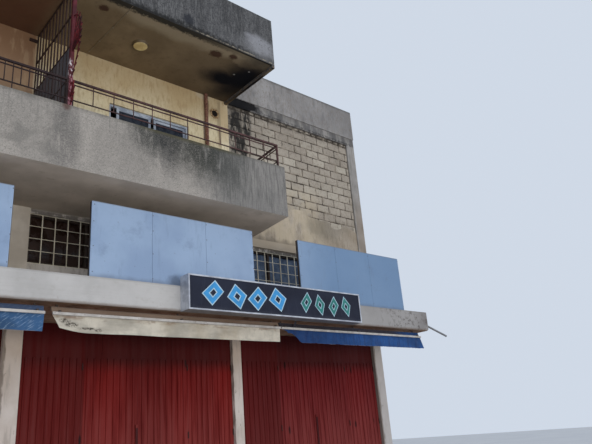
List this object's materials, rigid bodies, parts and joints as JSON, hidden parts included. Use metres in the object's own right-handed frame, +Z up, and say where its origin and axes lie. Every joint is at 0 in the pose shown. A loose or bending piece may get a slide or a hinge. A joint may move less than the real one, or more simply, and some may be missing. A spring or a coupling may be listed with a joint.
{
  "type": "apartment building",
  "caption": "Flat-roofed concrete street building: ribbed steel shop doors under a canopy, a strip-windowed mezzanine, and flats on a cantilevered balcony below a roof overhang.",
  "frame": {"origin": "street level at the middle of the street front, on the plane of the plastered upper wall", "axes": "+X along the street front to the right as seen from the street, +Y back into the building, +Z up"},
  "size_m": [18.5618, 11.0817, 9.975],
  "materials": {
    "grey_floor": "rough concrete",
    "column_paint": "worn off-white limewash",
    "frame_concrete": "bare cast concrete",
    "side_render": "rough grey-beige render",
    "cream_plaster": "painted plaster",
    "yellow_plaster": "faded yellow painted plaster",
    "block_wall": "bare concrete blocks with open joints",
    "balcony_render": "rough render with black streaks",
    "roof_concrete": "dark weathered cast concrete",
    "canopy_concrete": "board-marked off-white concrete",
    "door_red": "faded dark red paint on ribbed steel",
    "panel_blue": "matt pale blue sheet steel",
    "dark_steel": "dark painted steel",
    "sign_silver": "plain mill finish",
    "sign_navy": "printed film on plastic sheet",
    "awning_metal": "white painted steel with rust",
    "awning_cloth": "weathered coated cloth",
    "railing_brown": "old maroon paint with rust",
    "window_steel": "cream painted steel",
    "door_aluminium": "white powder coat",
    "clear_glass": "dusty clear glass",
    "pipe_brown": "brown-red paint",
    "lamp_cream": "cream diffuser",
    "spout_steel": "galvanised tube"
  },
  "bodies": {
    "root": {"ground_slab": "grey_floor", "mezzanine_floor": "frame_concrete", "apartment_floor": "frame_concrete", "roof_slab": "frame_concrete", "shop_columns": "column_paint", "upper_columns": "frame_concrete", "rear_columns": "frame_concrete", "left_party_wall": "side_render", "right_party_wall": "side_render", "mezzanine_front_wall": "cream_plaster", "apartment_front_wall": "yellow_plaster", "balcony_door_lintels": "yellow_plaster", "block_infill": "block_wall", "rear_wall": "block_wall", "window_frames": "window_steel", "balcony_door_frames": "door_aluminium", "window_glass": "clear_glass", "canopy_slab": "canopy_concrete", "canopy_front_edge": "canopy_concrete", "canopy_end_edges": "canopy_concrete", "folding_doors": "door_red", "door_heads": "door_red", "transom_sheets": "door_red", "balcony_slab": "balcony_render", "balcony_front_parapet": "balcony_render", "balcony_end_parapets": "balcony_render", "roof_overhang": "roof_concrete", "roof_front_fascia": "roof_concrete", "roof_end_fascias": "roof_concrete", "cross_parapets": "side_render", "side_parapets": "side_render", "sheet_panels": "panel_blue", "panel_posts": "dark_steel", "sign_box": "sign_silver", "sign_face": "sign_navy", "awning_frames": "awning_metal", "awning_rolls": "awning_cloth", "awning_valances": "awning_cloth", "balcony_railing_right": "railing_brown", "balcony_railing_left": "railing_brown", "balcony_railing_ends": "railing_brown", "partition_grille": "railing_brown", "partition_spikes": "railing_brown", "downpipes": "pipe_brown", "ceiling_lamps": "lamp_cream", "rain_spouts": "spout_steel"}
  },
  "joints": []
}
